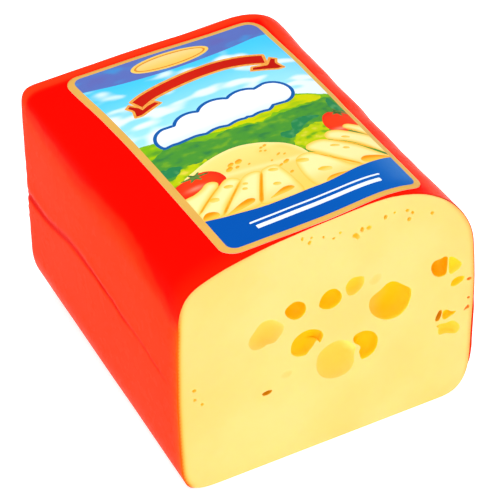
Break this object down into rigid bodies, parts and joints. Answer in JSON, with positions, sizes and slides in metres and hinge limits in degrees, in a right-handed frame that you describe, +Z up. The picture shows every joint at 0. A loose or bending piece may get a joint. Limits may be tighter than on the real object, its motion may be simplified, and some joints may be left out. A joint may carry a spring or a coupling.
{
  "type": "half block of loaf cheese in casing film",
  "caption": "Half a block of semi-hard loaf cheese, cut square to show its eyes, in a red casing film with a plain picture label on top.",
  "frame": {"origin": "middle of the block's bounding box, on the surface it rests on", "axes": "+Z up, -Y out of the cut face, +Y towards the loaf's own end, +X to the right when looking at the cut face"},
  "size_m": [0.1016, 0.1108, 0.0873],
  "materials": {
    "cheese": null,
    "casing": "glossy tight casing film",
    "label": "satin printed label"
  },
  "bodies": {
    "root": {"cheese_block": "cheese", "casing_film": "casing", "top_label": "label"}
  },
  "joints": []
}
